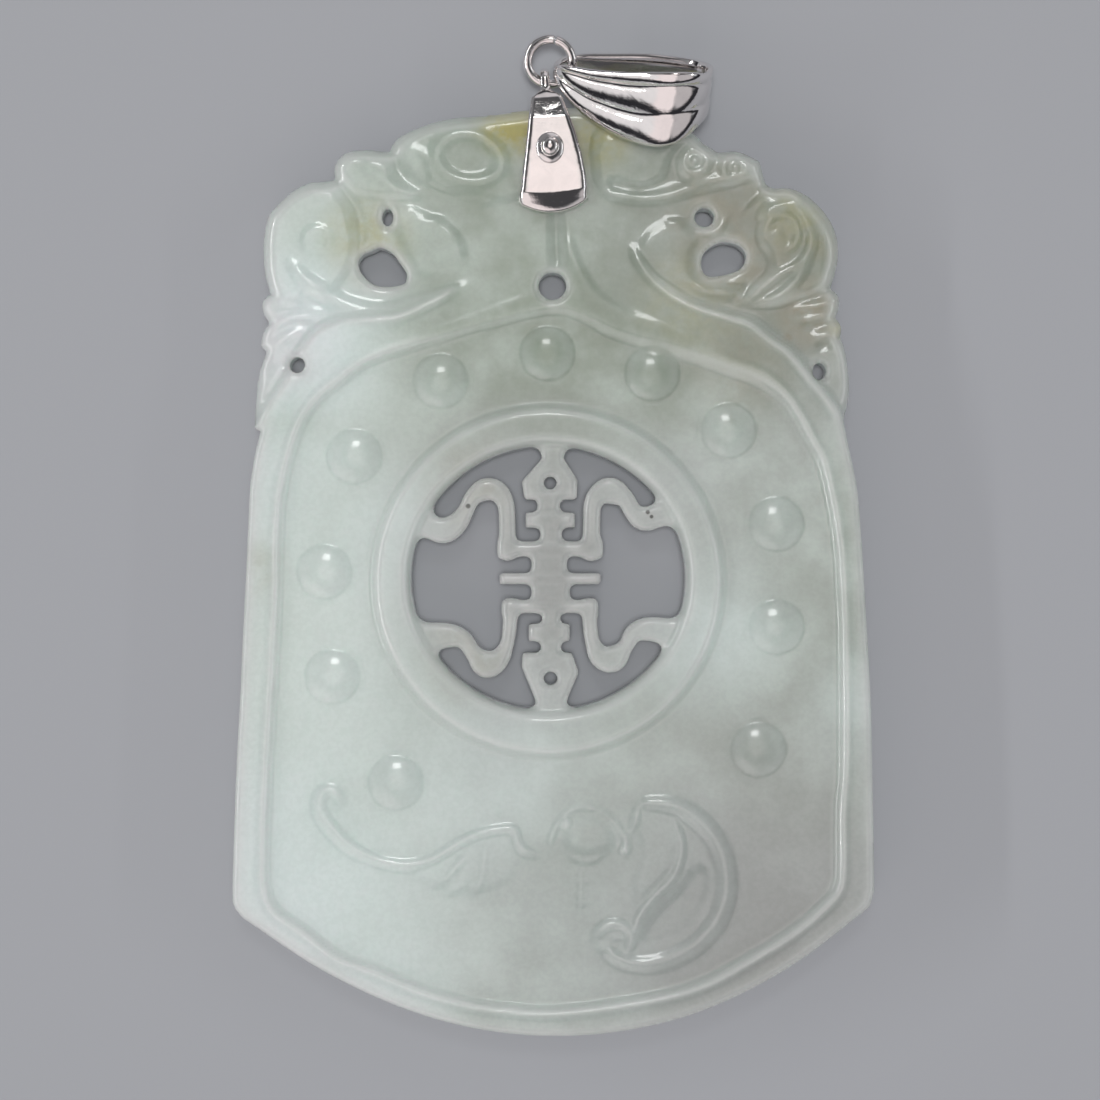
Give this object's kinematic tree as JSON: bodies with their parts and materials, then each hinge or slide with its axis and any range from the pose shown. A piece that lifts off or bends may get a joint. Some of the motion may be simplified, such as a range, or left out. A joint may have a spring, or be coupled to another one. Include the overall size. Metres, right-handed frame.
{
  "type": "pendant",
  "caption": "Flat carved stone tablet pendant with a scrolled crest, raised rim and pierced round medallion, on a metal clip, jump ring and ribbed bail.",
  "frame": {"origin": "middle of the underside of the whole pendant as it lies on its back", "axes": "+X to the right of the carved face, +Y along the tablet towards the bail, +Z out of the carved face"},
  "size_m": [0.0429, 0.067, 0.0097],
  "materials": {
    "jade": "polished translucent jadeite, pale grey-green with lavender and russet patches",
    "white_metal": "polished rhodium-white precious metal"
  },
  "bodies": {
    "root": {"jade_plaque": "jade", "clip": "white_metal", "clip_pin": "white_metal", "jump_ring": "white_metal", "bail": "white_metal"}
  },
  "joints": []
}
